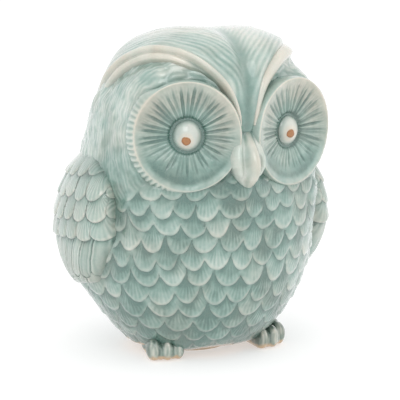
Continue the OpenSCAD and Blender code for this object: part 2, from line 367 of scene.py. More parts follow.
def belly_rows():
    rows = []
    tip = TOP_ROW
    while tip < LAST_ROW:
        k = len(rows)
        z = np.interp(tip - 4, DOWN_T, DOWN_Z)
        r = float(np.interp(-z, -DOWN_Z, DOWN_R))
        r = min(r, 46.0) if z > 80 else r
        n = next(count for end, count in ROUND if tip < end)
        gap = 2 * math.pi * r / n
        shift = math.radians(-4 + 0.25 * k) * r + (gap / 2 if k % 2 else 0)
        half = gap * 0.53
        jitter = 1.7 if tip < 34 else 1.2
        rows.append((tip, gap, shift, half, min(9.2, half * 1.6), jitter, r, n))
        tip += float(5.9 + 1.5 * ramp(0, 34, tip))
    return rows


# ---- the brow line, shared
BROW = np.array([[3.4, -45.6, 98], [4.2, -45.4, 103], [6, -43.8, 109.2], [8.6, -41.6, 114],
                 [12, -39, 117.8], [16.4, -35.4, 121.4], [21.2, -30.8, 124.2],
                 [26, -24.4, 125.6], [30, -16.8, 125.2], [33.6, -9.4, 122.6],
                 [36.4, -1.6, 118.6], [38.4, 6, 113.8], [39.4, 11, 109.8]]) + [0, HEAD_Y, 0]
# The near brow runs on down the side of the head
BROW_TAIL = np.array([[40.0, 13.2, 106.6], [40.2, 15.6, 103.4]])


def spline(points, n):
    p = np.vstack([2 * points[0] - points[1], points, 2 * points[-1] - points[-2]])
    u = np.linspace(0, len(points) - 1.0001, n)
    i = u.astype(int)
    f = (u - i)[:, None]
    a, b, c, d = p[i], p[i + 1], p[i + 2], p[i + 3]
    return 0.5 * (2 * b + (c - a) * f + (2 * a - 5 * b + 4 * c - d) * f ** 2
                  + (3 * b - a - 3 * c + d) * f ** 3)


def brow_frame(line):
    """Directions across the brow and out of the head at each point of its line."""
    t = unit(np.gradient(line, axis=0))
    s = unit(np.cross(t, unit(line - HEAD_C)))
    return s, np.cross(s, t)


def brow_distance(p):
    """Signed distance from the brow's line, positive on the eye's side, and how far along it."""
    line = spline(BROW, 90)
    s = brow_frame(line)[0]
    q = folded(p)
    best = np.full(len(q), 1e9)
    sign = np.ones(len(q))
    along = np.zeros(len(q))
    for k in range(len(line)):
        d = q - line[k]
        dist = (d * d).sum(1)
        nearer = dist < best
        best = np.where(nearer, dist, best)
        sign = np.where(nearer, np.sign(d @ s[k]), sign)
        along = np.where(nearer, k / (len(line) - 1), along)
    return np.sqrt(best) * sign, along


# ---- relief of the body
HAIR_GAP, COMB_GAP = 2.3, 1.9


def cover(look, on, thick, ray, streak):
    """Lays one kind of strokes over the rest where on is 1."""
    over = on > 0.5
    look["glaze"] = look["glaze"] * (1 - on) + thick * on
    look["ray"] = np.where(over, ray, look["ray"])
    look["streak"] = np.where(over, streak * ramp(0.5, 0.9, on),
                              look["streak"] * ramp(0.5, 0.1, on))


def feather_coat(p, alpha, deg):
    """Breast and back: overlapping fish-scale feathers."""
    z = p[:, 2]
    t = down(z) + 0.8 * noise(p, 20, 3) + 0.40 * noise(p, 4, 40)
    bend = 0.014 * noise(p, 12, 4) + 0.007 * noise(p, 4, 41)
    f = feathers(alpha + bend, t, belly_rows(), 11)
    lift = 0.28 + 0.72 * ramp(12, 1.0, f["s"])
    h = (1.15 * lift + 0.35 * (1 - f["u"] ** 2)) * rounded(f["edge"] / 1.2)
    quill = bell(f["u"], 0.10) * ramp(2.0, 7, f["s"]) * ramp(-0.4, 0.5, f["id"])
    h = h - 0.30 * bell(f["edge"] - 2.2, 1.0) * ramp(9, 4, f["s"]) - 0.28 * quill
    # Darker just under the edge of the feather above: partly glaze pooled there, partly painted
    # shadow of the overlapping feather.
    thick = (0.57 + 0.30 * np.exp(-f["above"] / 2.6) - 0.15 * np.exp(-f["edge"] / 1.8)
             + 0.24 * quill + 0.14 * f["id"] + 0.13 * noise(p, 2.6, 26)
             + 0.11 * noise(p, 1.3, 27) + 0.08 * noise(p, 18, 24))
    # Painted shade: darker towards the bottom of the body and at its foot, and on the upper
    # breast under the eye discs.
    thick = thick + (0.30 * ramp(34, 8, z) + 0.26 * ramp(13, 5, z)
                     + 0.12 * ramp(52, 74, z) * ramp(60, 30, deg))
    phi, trust = edge_lines(f["edge"], f["above"])
    ray = 46 * np.arctan2(f["u"] * 5.4, 15.0 - f["s"]) + 5 * f["id"]
    streak = ((0.55 + 0.35 * noise(p, 5, 25)) * ramp(0.5, 1.6, f["edge"])
              * ramp(0.3, 2.0, f["above"]))
    return h, {"glaze": thick, "phi": phi, "trust": trust, "ray": ray, "streak": streak}


def add_hair(p, deg, h, look):
    """Side of the head: long hair-like strokes that flow round the eye disc."""
    z = p[:, 2]
    u, w, d = disc_coords(p)
    rho = np.hypot(u, w) + 0.95 * np.maximum(-d - 7, 0)
    lam = -np.arctan2(w, u + 2) * (19 + 0.4 * np.clip(rho - 19, 0, 40))
    lat = rho + 1.9 * noise(p, 9, 5) + 0.9 * noise(p, 3.0, 6)
    hair, tone, taper = strokes(lat, lam + 2.0 * noise(p, 6, 8), HAIR_GAP, 8.0, 31)
    hair_h = 0.62 * hair + 0.30 * noise(p, 5, 12) + 0.30 * noise(p, 2.4, 13) - 0.75
    hair_h = hair_h + 1.4 * ramp(62, 95, deg) * ramp(68, 78, z) * ramp(118, 102, z)
    # Painted shade: darker low on the side of the head under the chin, and just round the eye
    # disc's rim.
    thick = (0.57 - 0.20 * hair + 0.09 * tone + 0.12 * noise(p, 7, 9) + 0.14 * noise(p, 2, 10)
             + 0.16 * ramp(26, 22, rho) - 0.07 * ramp(40, 62, rho) + 0.22 * ramp(92, 72, z)
             - 0.11 * ramp(96, 104, z) * ramp(48, 36, rho))
    border = (77.5 - 0.0085 * np.maximum(deg - 25, 0) ** 2 * ramp(115, 75, deg)
              + 90 * ramp(124, 150, deg))
    on = ramp(-2.5, 2.5, z - border + 1.5 * noise(p, 8, 15))
    cover(look, on, thick, wave(lat, HAIR_GAP), 0.65 * taper)
    look["trust"] *= ramp(0.5, 0.1, on)
    return h * (1 - on) + hair_h * on


def add_crown(p, h, look):
    """Two raised caps whose strokes run with the brows, a dark valley between them, and a
    shadowed hollow just under each brow."""
    x, y, z = p.T
    ax = np.abs(x)
    far = x > 0
    s, along = brow_distance(p)
    upper = ramp(92, 99, z)
    bare = upper * ramp(1.0, -1.5, s)
    cap = (upper * ramp(1.0, -2.2, s + 2.0 * far) * ramp(34, 12, np.abs(s))
           * ramp(1.0, 0.85, along))
    valley = bell(ax, 2.4 + 0.8 * ramp(104, 126, z)) * ramp(4, -26, y) * ramp(90, 97, z)
    slope = 1 - valley
    lat = s + 0.6 * noise(p, 7, 21)
    comb, tone, _ = strokes(lat, along * 90 + 2 * noise(p, 9, 23), COMB_GAP, 30, 37)
    combed = bare * ramp(-1.5, -3.0, s) * (0.5 + 0.5 * ramp(-40, -26, s)) * slope
    groove = (comb - 0.5) * combed
    rise = 2.7 - 0.8 * ramp(8, 22, ax) * ramp(0.35, 0.6, along)
    h = h * (1 - bare) + cap * rise * slope + 0.40 * groove
    # Paler towards the top of the crown: painted highlight. The far cap is paler too.
    thick = (0.34 + 0.16 * bell(s + 6, 4) - 0.16 * far * slope - 0.16 * groove
             + (0.37 - 0.12 * ramp(110, 128, z) + 0.08 * ramp(113, 100, z)) * valley
             + 0.12 * noise(p, 14, 22) + 0.07 * tone * combed + 0.06 * noise(p, 2.5, 20)
             - 0.12 * ramp(118, 132, z) * slope)
    cover(look, bare, thick, wave(lat, COMB_GAP), combed)
    look["trust"] *= 1 - bare
    under = upper * bell(s - 5.5 - 1.2 * far, 4.2 + 1.0 * far) * (s > 0) * (1 - bare)
    # Painted shade in the hollow under each brow.
    look["glaze"] += 0.06 * under * ramp(1.0, 0.6, along)
    return h - (0.8 * ramp(1.0, 0.8, along) + 1.5 * far * ramp(0.35, 0.50, along)) * under


def body_relief(p):
    """Height of the relief in mm, how bare the clay is, and what the glaze reads."""
    x, y, z = p.T
    alpha = np.arctan2(x, -(y - AXIS_Y))
    deg = np.degrees(np.abs(alpha))
    h, look = feather_coat(p, alpha, deg)
    h = add_hair(p, deg, h, look)
    # dark gap that runs down in front of each wing: a sunk trench, with painted shade in it
    around = np.degrees(np.arctan2(y - AXIS_Y, np.abs(x)))
    gap_at = np.interp(z, [30, 37, 48, 52, 78, 84], [-13, -19, -26.5, -30, -29, -20]) - 1.5
    gap = bell((around - gap_at) * 0.8 + 0.8 * noise(p, 5, 18), 3.0)
    gap = gap * ramp(26, 38, z) * ramp(86, 76, z)
    h = h * (1 - 0.4 * gap) - 0.4 * gap
    look["glaze"] += 0.05 * gap
    # the body swells under the lower end of each wing
    h = h + 2.3 * bell(z - 32, 8) * ramp(70, 95, deg) * ramp(152, 128, deg)
    h = add_crown(p, h, look)
    # the luted disc covers this part of the face
    u, w, d = disc_coords(p)
    h = h - 1.6 * ramp(21.5, 18.5, np.hypot(u, w)) * ramp(-8, -6, d) * (y < 0)
    # bare lip round the bottom edge
    flank = 2.2 * ramp(35, 60, deg)
    lip = ramp(5.0 + flank, 2.6 + flank, z + 0.8 * noise(p, 6, 28))
    h = h * ramp(2.0, 6.0, z)
    look["trust"] *= ramp(3.0, 7.0, z)
    look["glaze"] = np.clip(look["glaze"], 0, 1.2)
    look["streak"] = np.clip(look["streak"], 0, 1)
    return h, lip, look


# ---- the hollow body
COLUMNS, RINGS = 330, 292
INNER_COLUMNS, INNER_RINGS = 96, 56


def columns(n):
    """Angles round the body, close together in front and wider apart behind."""
    a = np.linspace(-math.pi, math.pi, 4001)
    density = 0.42 + 0.58 * ramp(math.radians(125), math.radians(95), np.abs(a))
    c = np.append(0, np.cumsum((density[1:] + density[:-1]) / 2))
    return np.interp(np.arange(n) / n * c[-1], c, a)


def star_surface(angles, nv, inset, z_cut):
    """Points on the body form: nv rings from the cut at the bottom to just short of the top."""
    fine = np.linspace(math.radians(-75), math.radians(89.6), 260)
    d = bearing(*np.meshgrid(angles, fine))
    p = STAR_C + reach(STAR_C, d, inset)[..., None] * d
    rise = np.zeros((nv, len(angles)))
    for j in range(len(angles)):
        z = p[:, j, 2]
        k = np.argmax(z > z_cut)
        f = (z_cut - z[k - 1]) / (z[k] - z[k - 1])
        route = np.vstack([p[k - 1, j] + f * (p[k, j] - p[k - 1, j]), p[k:, j]])
        angle = np.append(fine[k - 1] + f * (fine[k] - fine[k - 1]), fine[k:])
        arc = np.append(0, np.cumsum(np.linalg.norm(np.diff(route, axis=0), axis=1)))
        rise[:, j] = np.interp(np.linspace(0, arc[-1], nv), arc, angle)
    d = bearing(np.broadcast_to(angles, rise.shape), rise)
    return STAR_C + reach(STAR_C, d, inset)[..., None] * d


def slot_tool(n=10):
    """A bar with round ends that runs along Y through the back of the head."""
    r = SLOT_TALL / 2
    turn = math.pi / 2 - math.pi * np.arange(n + 1) / n
    x = SLOT_LONG / 2 - r + r * np.cos(turn)
    z = r * np.sin(turn)
    x, z = np.append(x, -x), np.append(z, -z)
    rings = [np.stack([x, 0 * x + AXIS_Y + y, SLOT_Z + z], -1) for y in (18, 62)]
    m = len(x)
    faces = [(i, (i + 1) % m, m + (i + 1) % m, m + i) for i in range(m)]
    faces += [tuple(range(m))[::-1], tuple(range(m, 2 * m))]
    return mesh_object("slot_tool", np.vstack(rings), faces, {})


def opening_tool():
    """A round bar where the base plate closes the bottom."""
    bpy.ops.mesh.primitive_cylinder_add(vertices=96, radius=OPENING_R * MM, depth=14 * MM,
                                        location=(0, BASE_Y * MM, 6 * MM))
    return bpy.context.object


def make_shell():
    base = star_surface(columns(COLUMNS), RINGS, 0.0, CUT_Z)
    grid = base.shape[:2]
    flat = base.reshape(-1, 3)
    x, y, z = flat.T
    h, lip, look = body_relief(flat)
    h, look["glaze"] = (soften(v.reshape(grid), 1).ravel() for v in (h, look["glaze"]))
    # the slot's edge is wiped soft before glazing
    from_slot = np.hypot(np.maximum(np.abs(x) - (SLOT_LONG - SLOT_TALL) / 2, 0), z - SLOT_Z)
    wiped = ramp(7.5, 3.6, from_slot) * (y > 0)
    h = h * (1 - wiped) - 0.8 * ramp(4.6, 2.4, from_slot) * (y > 0)
    look["glaze"] = look["glaze"] * (1 - wiped) + 0.25 * wiped
    for key in ("trust", "streak"):
        look[key] *= 1 - wiped
    moved = (flat + body_normal(flat) * h[:, None]).reshape(base.shape)
    # the bottom edge lies at 1.5 mm, and at 3.5 mm in front
    edge = 1.5 + 2.0 * (bell(x, 15) * (y < 0)).reshape(grid)
    moved[..., 2] += (edge - CUT_Z) * ramp(11, CUT_Z, moved[..., 2])
    shell = ring_object("shell_body", moved)
    hollow = star_surface(circle(INNER_COLUMNS), INNER_RINGS, WALL, CUT_Z + WALL)
    inner = ring_object("inner_tool", hollow)
    cut(shell, [inner, slot_tool(), opening_tool()])
    inside = {"glaze": 0.25, "phi": 4.0, "trust": 0.0, "ray": 0.0, "streak": 0.0}
    values = {k: (v, inside[k]) for k, v in look.items()}
    paint(shell, moved.reshape(-1, 3), {"clay": (lip, 0.6), **values})
    return shell


# ---- eye discs
# Profiles of a disc as (radius, height): the outer side flares into a milled flank, the inner
# side tucks in behind the beak.
FRONT = [(0.3, -3.95), (3, -3.95), (5.4, -3.95), (6.2, -3.92), (6.7, -3.75), (7.2, -3.25),
         (7.8, -2.86), (8.8, -2.56), (11, -2.2), (13, -1.82), (15, -1.42), (17, -0.98),
         (18.6, -0.5), (19.6, -0.14), (20.2, 0.05), (20.6, 0.02)]
OUTER = [(21.1, -0.3), (21.75, -0.95), (22.4, -1.8), (23.0, -2.9), (23.3, -4.3), (23.0, -6.5),
         (22.0, -9.5), (19.5, -13)]
INNER = [(20.85, -0.3), (21.0, -0.9), (21.1, -1.7), (21.15, -2.8), (21.1, -4.2), (20.8, -6.5),
         (20.2, -9.5), (19.5, -13)]
GROOVES = 40
RIBS = 62
MOAT_R = 6.2


def polar(r, phi):
    return r * np.cos(phi), r * np.sin(phi)


def on_disc(u, w, n, side):
    p = DISC_C + u[..., None] * DISC_U + DISC_TALL * w[..., None] * DISC_W + n[..., None] * DISC_N
    return p * [side, 1, 1]


def disc_grooves(r, phi, seed):
    """Depth 0..1 of the wedge-shaped cuts that fan out from the eye, and how low they lie."""
    k = np.round(phi / (2 * math.pi) * GROOVES)
    centre = (k + 0.28 * cell(k % GROOVES, 3, seed)) / GROOVES * 2 * math.pi
    low = ramp(-0.15, -0.75, np.sin(phi))
    end = 19.9 + 1.4 * cell(k % GROOVES, 5, seed) - 4.4 * low
    taper = np.clip((end - r) / (end - 7.2), 0, 1)
    half = math.pi / GROOVES * np.minimum(0.98, 0.10 + 1.0 * taper ** 0.8)
    across = dome((phi - centre) / half) ** 0.7
    depth = across * ramp(0.0, 0.35, taper) * ramp(6.0, 7.0, r)
    return depth * (1 - 0.3 * low) * (0.78 + 0.28 * cell(k % GROOVES, 9, seed)), low


def make_disc(side, name):
    nu, nv = 400, 116
    phi = circle(nu)
    turn = (np.degrees(phi) + 180) % 360 - 180
    flare = ramp(62, 38, turn) * ramp(-112, -72, turn)
    outer, inner = (spline(np.array(FRONT + flank), nv)[:, None] for flank in (OUTER, INNER))
    profile = outer * flare[None, :, None] + inner * (1 - flare[None, :, None])
    r0, z = profile[..., 0], profile[..., 1]
    phi = np.broadcast_to(phi, r0.shape)
    index = np.linspace(0, 1, nv)[:, None]
    skirt = ramp(0.635, 0.70, index)
    front = 1 - skirt
    depth, low = disc_grooves(r0, phi, 40 + side)
    depth = depth * front
    z = z - 0.62 * depth
    q = np.stack([*polar(r0, phi), z + 40.0 * (side + 2)], -1)
    z = z + 0.10 * noise(q, 4.5, 2) + 0.06 * noise(q, 1.6, 4)
    # milled ribs on the outer flank, almost worn away on the far disc
    milled = (ramp(0.655, 0.70, index) * ramp(0.93, 0.80, index) * flare * ramp(50, 20, turn)
              * ramp(-80, -55, turn) * (1.0 if side < 0 else 0.2))
    ribs = np.cos(phi * RIBS + 1.2 * noise(q, 6, 7)) * milled
    r = r0 + 0.23 * ribs
    pts = on_disc(*polar(r, phi), z + 0.14 * ribs, side)
    # glaze: pooled in the moat and the cuts, and in a crescent at the bottom of the bowl
    up = ramp(-0.5, 0.8, np.sin(phi))
    pool = low * (0.22 * ramp(11, 15, r0) + 0.16 * bell(r0 - 17.2, 1.3)) * front
    moat = bell(np.maximum(r0 - MOAT_R, 0), 1.1) * front
    fine = np.sin(phi * 97 + 2.5 * noise(q, 3, 10)) * ramp(9, 12, r0) * ramp(19.6, 17.5, r0)
    blotch = 0.09 * noise(q, 3.2, 8) + 0.07 * noise(q, 1.2, 9) + 0.06 * fine * (1 - 0.8 * low)
    field = ((0.52 if side < 0 else 0.475) + 0.05 * (1 - up)
             + 0.05 * flare * ramp(-0.2, 0.6, np.cos(phi))
             - 0.16 * ramp(16.5, 19.8, r0) * (0.4 + 0.6 * up))
    thick = (field + 0.46 * depth * (1 - 0.25 * ramp(13, 19, r0))
             + pool * ramp(19.4, 17.6, r0) + 0.75 * moat + blotch) * front
    thick = thick + skirt * (0.42 - 0.22 * ribs + 0.4 * ramp(0.80, 0.95, index))
    crest = bell(index - 0.65, 0.035 + 0.02 * flare)
    thick = thick * (1 - 0.75 * crest * (1 - 0.35 * low))
    warm = front * (0.30 + 0.45 * up) * ramp(8, 14, r0) * (1 - low) + 0.55 * crest
    warm = warm * (1 - 0.6 * depth)
    return ring_object(name, pts[::-1], {
        "glaze": (np.clip(thick, 0, 1.2)[::-1], 0.5, 0.9),
        "warm": (np.clip(warm, 0, 1)[::-1], 0, 0)}, side)


# ---- eyeballs and pupils
EYE_R, EYE_RISE, EYE_SLIM = 5.75, 2.9, 0.96
EYE_SEAT = -3.55
EYE_BALL = (EYE_R ** 2 + EYE_RISE ** 2) / (2 * EYE_RISE)
PUPIL_R = 1.85
# How far each eye looks down and to the owl's left, in degrees
GAZE = {-1: (13, -4), 1: (7, -12)}


def eye_height(r):
    return EYE_SEAT + (EYE_RISE + 0.15) * dome(r / EYE_R, 2.2) ** 0.9


def gaze_point(side):
    """Where the eye looks out of its disc, across and up."""
    nod, turn = map(math.radians, GAZE[side])
    return EYE_BALL * math.sin(turn) * math.cos(nod) * side, -EYE_BALL * math.sin(nod)


def make_eyeball(side, name):
    phi = circle(96)
    t = np.linspace(0, 1, 40)[:, None] + 0 * phi
    r = EYE_R / math.sin(math.radians(50)) * np.sin(t * math.radians(58))
    r = np.where(t < 0.86, r, EYE_R)
    n = np.where(t > 0.9, EYE_SEAT - (t - 0.9) * 6, eye_height(r))
    q = np.stack([*polar(r, phi), n + 9 * side], -1)
    r = r + 0.10 * noise(q, 4, 30)
    u, w = polar(r, phi)
    pts = on_disc(EYE_SLIM * u, w, n, side)
    at_u, at_w = gaze_point(side)
    # Painted shade: darker at the foot of the dome and towards one side, and a warm beige shade
    # below its middle.
    thick = (0.10 + 0.62 * ramp(4.2, 5.9, r) + 0.14 * noise(q, 3, 31)
             + 0.22 * ramp(1.0, 5.0, u + 0.4 * w))
    warm = (0.9 * ramp(3.9, 2.2, np.hypot(u - at_u, w - at_w))
            + 0.20 * ramp(5.0, 0.0, np.hypot(u, w + 2)))
    return ring_object(name, pts[::-1], {
        "glaze": (thick[::-1], 0.5, 0.1), "warm": (warm[::-1], 0, 0.3)}, side)


def make_pupil(side, name):
    phi = circle(64)
    t = np.linspace(0.02, 1, 22)[:, None] + 0 * phi
    r = t * PUPIL_R * (1 + 0.045 * np.cos(2 * phi + side) + 0.03 * np.cos(3 * phi + 2 * side)
                       + 0.015 * np.cos(5 * phi + 1))
    u, w = (at + v for at, v in zip(gaze_point(side), polar(r, phi)))
    n = (eye_height(np.hypot(u, w)) + 0.22 * np.sqrt(dome(t)) - 0.10 * bell(t, 0.35)
         - 0.5 * ramp(0.93, 1.0, t))
    return ring_object(name, on_disc(u, w, n, side)[::-1], {"core": ((1 - t)[::-1], 0, 1)}, side)


# ---- beak
BEAK_TOP, BEAK_TIP, BEAK_HALF = 95.6, 74.3, 6.4


def make_beak():
    nu, nv = 81, 110
    t = np.linspace(0, 1, nv)[:, None]
    s = np.linspace(-1, 1, nu)
    z = BEAK_TOP + (BEAK_TIP - BEAK_TOP) * t + 0 * s
    wide = np.interp(t, [0, 0.1, 0.25, 0.45, 0.6, 0.75, 0.86, 0.95, 1],
                     [0.42, 0.62, 0.85, 1.0, 0.97, 0.80, 0.58, 0.36, 0.16])
    x = BEAK_HALF * (0.55 * s + 0.45 * np.sin(s * math.pi / 2)) * wide
    ridge_h = np.interp(t, [0, 0.08, 0.2, 0.34, 0.48, 0.6, 0.72, 0.84, 0.93, 1],
                        [0.9, 2.6, 5.9, 8.8, 10.4, 10.9, 10.3, 8.3, 5.9, 3.6])
    ridge_w = np.interp(t, [0, 0.15, 0.4, 0.65, 0.85, 1], [1.5, 2.1, 2.8, 2.8, 2.3, 1.3])
    lobe_h = np.interp(t, [0, 0.1, 0.25, 0.45, 0.62, 0.76, 0.86, 1],
                       [0.6, 1.8, 4.2, 6.4, 6.8, 5.4, 3.2, 1.0])
    ridge = ridge_h * np.sqrt(dome(x / ridge_w, 2.6)) ** 0.8
    lobe = lobe_h * np.sqrt(dome((np.abs(x) - 4.5 * wide) / (2.15 * wide), 2.2))
    h = soften(np.maximum(blend_max(ridge, lobe, 1.4), 0.0), 16, closed=False)
    # the lobe on the owl's right side is the fuller one
    x = np.where(x < 0, x * (1 + 0.20 * ramp(0.05, 0.40, t)), x)
    front = np.stack([x, HEAD_Y - 41.6 - h, z], -1)
    back = np.stack([x * 0.9, 0 * x + HEAD_Y - 36, z], -1)
    q = front.copy()
    front[..., 1] += 0.08 * noise(q, 3, 50)
    groove = bell(np.abs(x) - 0.93 * ridge_w, 0.5 * wide + 0.15)
    thick = (0.16 + 0.20 * groove + 0.14 * noise(q, 5, 51) + 0.5 * ramp(0.24, 0.0, t)
             + 0.35 * ramp(2.2, 0.4, h))
    warm = 0.65 * bell(x, 0.8 * ridge_w) + 0.15
    return slab_object("beak_piece", front, back,
                       {"glaze": np.clip(thick, 0, 1.1), "warm": np.clip(warm, 0, 1)})


# ---- brows
def make_brow(side, name):
    """The near brow, on the owl's right, has a second roll and a tail; the far one is broad."""
    near = side < 0
    nv, nu = 220, 61
    points = np.vstack([BROW, BROW_TAIL]) if near else BROW
    end = (len(points) - 1) / (len(BROW) - 1)
    line = spline(points, nv)
    if not near:
        line[:, 2] -= 1.5 * ramp(0.36, 0.60, np.linspace(0, 1, nv))
    s, o = brow_frame(line)
    along = np.linspace(0, end, nv)[:, None]
    x = np.linspace(-2.6, 5.4, nu) - (0 if near else 1.8) + 0 * along
    size = np.interp(along, [0, 0.08, 0.25, end - 0.3, end - 0.12, end - 0.04, end],
                     [0.7, 0.9, 1, 1, 0.85, 0.7, 0.5])
    if near:
        # main roll with a thinner second roll on the eye side of its outer part
        tall = 3.35
        middle, roll_w = -0.15, (1.2 + 0.3 * ramp(0.38, 0.60, along)) * size
        second_on = ramp(0.36, 0.60, along) * ramp(end, end - 0.20, along) * size
    else:
        # one broad roll, steep towards the crown
        tall = 3.35 - 2.1 * ramp(0.40, 0.62, along)
        middle = -0.6 * ramp(0.05, 0.35, along)
        roll_w = np.where(x < middle, 1.5 + 1.4 * ramp(0.05, 0.35, along),
                          1.6 + 1.0 * ramp(0.05, 0.4, along)) * size
        second_on = 0.0 * size
    roll = tall * size * np.sqrt(dome((x - middle) / roll_w)) ** 0.7
    gap = 2.3 + 1.15 * ramp(0.4, 0.75, along)
    second = 1.9 * second_on * np.sqrt(dome((x - gap) / (1.05 + 0.5 * second_on))) ** 0.8
    web = 1.5 * size * ramp(-1.9, -1.2, x) * ramp(gap + 0.6, gap - 0.6, x)
    h = soften(np.maximum.reduce([roll, second, web * second_on]), 4, closed=False)
    surface = line[:, None] + x[..., None] * s[:, None]
    up = np.broadcast_to(o[:, None], surface.shape)
    for _ in range(4):
        surface = surface - up * body_field(surface)[..., None]
    h = h + 0.10 * noise(surface, 4, 60) * (h > 0.3)
    fade = 0.40 if near else 0.24
    ending = ramp(end - fade, end, along)
    sink = 0.25 + 3.6 * ending
    # beyond its rolls the slab dives into the head, so no thin skirt shows
    edge = 0.9 + (gap - 0.7) * ramp(0.30, 0.50, along) if near else 0.5
    skirt = 2.5 * ramp(0.7, 0.1, h) * ramp(edge, edge + 1.0, x) * (1 - ending)
    front = surface + up * (h - skirt - sink)[..., None]
    back = surface - up * (3.4 + 0.25 * sink)[..., None]
    # Painted shade on the eye's side where the brow drops to the head, under its rolls.
    thick = (0.08 + 0.26 * bell(x - 1.55, 0.5) * near * ramp(0.25, 0.4, along)
             + 0.12 * noise(surface, 5, 61) + 0.45 * ramp(1.0, 0.2, h) * (x > 0)
             + 0.20 * ending)
    warm = 0.75 + 0.2 * noise(surface, 6, 62) - 0.3 * ending
    return slab_object(name, front, back, {"glaze": np.clip(thick, 0, 1.1),
                                           "warm": np.clip(warm, 0, 1)}, side)


# ---- wings
WING_TOP, WING_LOW, WING_OUT, WING_R = 85.0, 24.0, 8.2, 53.0
# Rows of coverts as feathers() reads them, and the overlapping tips of the long primaries
COVERTS = [(2.6, 10.2, 1.2, 5.6, 6.4, 0.9), (11.2, 9.8, -3.6, 5.4, 5.9, 1.0),
           (20.0, 9.2, 0.6, 5.0, 5.4, 1.1), (28.6, 8.6, -2.8, 4.7, 4.8, 1.1),
           (36.0, 8.0, 1.0, 4.4, 3.4, 0.9)]
PRIMARIES = [(tip, 5.8, shift, 2.95, 3.6, 0.0) for tip, shift in ((0, 0.4), (5, 3.3), (10, 0.4))]


def soft_curve(x, xs, ys, width=0.02):
    """A curve through the points with its corners rounded over the width."""
    grid = np.linspace(-0.1, 1.1, 601)
    k = np.exp(-0.5 * (np.arange(-60, 61) * 0.002 / width) ** 2)
    v = np.convolve(np.pad(np.interp(grid, xs, ys), 60, mode="edge"), k / k.sum(), mode="valid")
    return np.interp(x, grid, v)


def make_wing(side, name):
    nu, nv = 200, 260
    t = np.linspace(0, 1, nv)[:, None]
    u = np.linspace(-1, 1, nu)
    us = np.sin(u * math.pi / 2) * 0.6 + u * 0.4
    z = WING_TOP + (WING_LOW - WING_TOP) * t + 0 * u
    front_a = soft_curve(t, [0, .05, .13, .25, .35, .54, .60, .78, .86, .93, 1],
                         [-3, -11, -21, -27, -28.5, -28.5, -25.5, -17.5, -13, 10, 34], 0.008)
    rear_a = soft_curve(t, [0, .08, .2, .4, .6, .8, .92, 1], [16, 30, 44, 54, 58, 57, 53, 44])
    rise = WING_OUT * soft_curve(
        t, [0, .05, .09, .13, .17, .25, .34, .42, .5, .6, .66, .74, .82, .88, .94, 1],
        [.05, .18, .32, .46, .6, .76, .88, .97, 1.02, 1.04, 1.02, .98, .90, .80, .58, .2])
    deg = front_a + (rear_a - front_a) * (us + 1) / 2
    a = np.radians(deg)
    body = rise * np.sqrt(dome(us, 8))
    q = np.stack([a * WING_R, z, 0 * z + 100 * side], -1)
    across = a * WING_R + 0.35 * noise(q, 4, 72)
    # the rows of feathers rise a little towards the front
    down_mm = WING_TOP - z + 0.5 * noise(q, 9, 70) + 3.0 * ramp(14, -26, deg)
    f = feathers(across, down_mm, COVERTS, 70 + side)
    tips = 52.3 + 8.2 * ramp(-6, 40, deg)
    g = feathers(across - 0.45 * (down_mm - 36), down_mm - tips, PRIMARIES, 80 + side)
    is_covert = f["owner"] >= 0
    in_primary = g["owner"] >= 0
    rim = rounded(f["edge"] / 1.3)
    covert_h = (1.15 * (0.35 + 0.65 * ramp(10, 0.5, f["s"])) + 0.30 * (1 - f["u"] ** 2)) * rim
    quill = bell(g["u"], 0.16)
    side_roll = bell(np.abs(g["u"]) - 0.78, 0.16)
    shade = np.exp(-f["above"] / 1.4)
    primary_h = -0.75 + 0.75 * rounded(g["edge"] / 0.8) + 0.30 * side_roll + 0.22 * quill
    primary_h = np.where(in_primary, primary_h, -1.2) - 0.25 * shade
    h = np.where(is_covert, covert_h, primary_h)
    covert_thick = 0.42 + 0.14 * shade + 0.12 * np.exp(-f["above"] / 4) + 0.10 * f["id"]
    primary_thick = (0.56 + 0.26 * shade - 0.22 * side_roll - 0.16 * quill + 0.10 * g["id"]
                     + 0.35 * bell(g["edge"], 0.4))
    thick = np.where(is_covert, covert_thick, np.where(in_primary, primary_thick, 0.75))
    phi, trust = edge_lines(np.where(is_covert, f["edge"], 9.0), f["above"])
    angle = np.arctan2(f["u"] * 4.2, 13 - f["s"])
    ray = np.where(is_covert, 46 * angle + 5 * f["id"], wave(g["u"] * 3.0, 1.5))
    streak = np.where(is_covert, 0.7, 0.45) + 0.4 * noise(q, 4, 76)
    fade = ramp(0, 0.16, t) * 0.85 + 0.15
    h = np.maximum(h * fade * np.sqrt(dome(us, 9)) - 0.55, 0.15 - body)
    # painted shade along the front margin and at the shoulder
    margin = (us + 1) * np.radians(rear_a - front_a) / 2 * WING_R
    thick = thick + 0.22 * ramp(0.22, 0.05, t) * (us < 0.2) + 0.12 * ramp(2.0, 0.3, margin)
    out = np.stack([np.cos(a), np.sin(a), 0 * a], -1)
    axis = np.stack([0 * a, 0 * a + AXIS_Y, z], -1)
    r = reach(axis, out, lo=10.0, hi=70.0, steps=18)
    front = axis + (r + body + h)[..., None] * out
    back = axis + (r - 2.5)[..., None] * out
    warm = 0.14 + 0.2 * noise(q, 12, 75)
    return slab_object(name, front, back, {
        "glaze": np.clip(thick, 0, 1.2), "warm": np.clip(warm, 0, 1), "phi": phi,
        "trust": trust * fade, "ray": ray, "streak": np.clip(streak * fade, 0, 1)}, side)


# ---- feet
# Each toe as (across, back, half width, how far its rear end lies further across)
TOES = {1: [(22.2, -13.0, 3.0, -0.9), (27.2, -12.6, 2.9, -1.1), (32.0, -9.0, 3.2, -1.3)],
        -1: [(16.3, -12.9, 2.8, -3.8), (20.9, -13.0, 2.4, -4.0), (25.8, -11.2, 2.9, -4.4)]}
PADS = {1: (23.5, 29.5), -1: (17.4, 22.4)}
TOE_LONG, TOE_BALLS, TOE_TALL = 11, 6, 4.85
VOXEL = 0.34


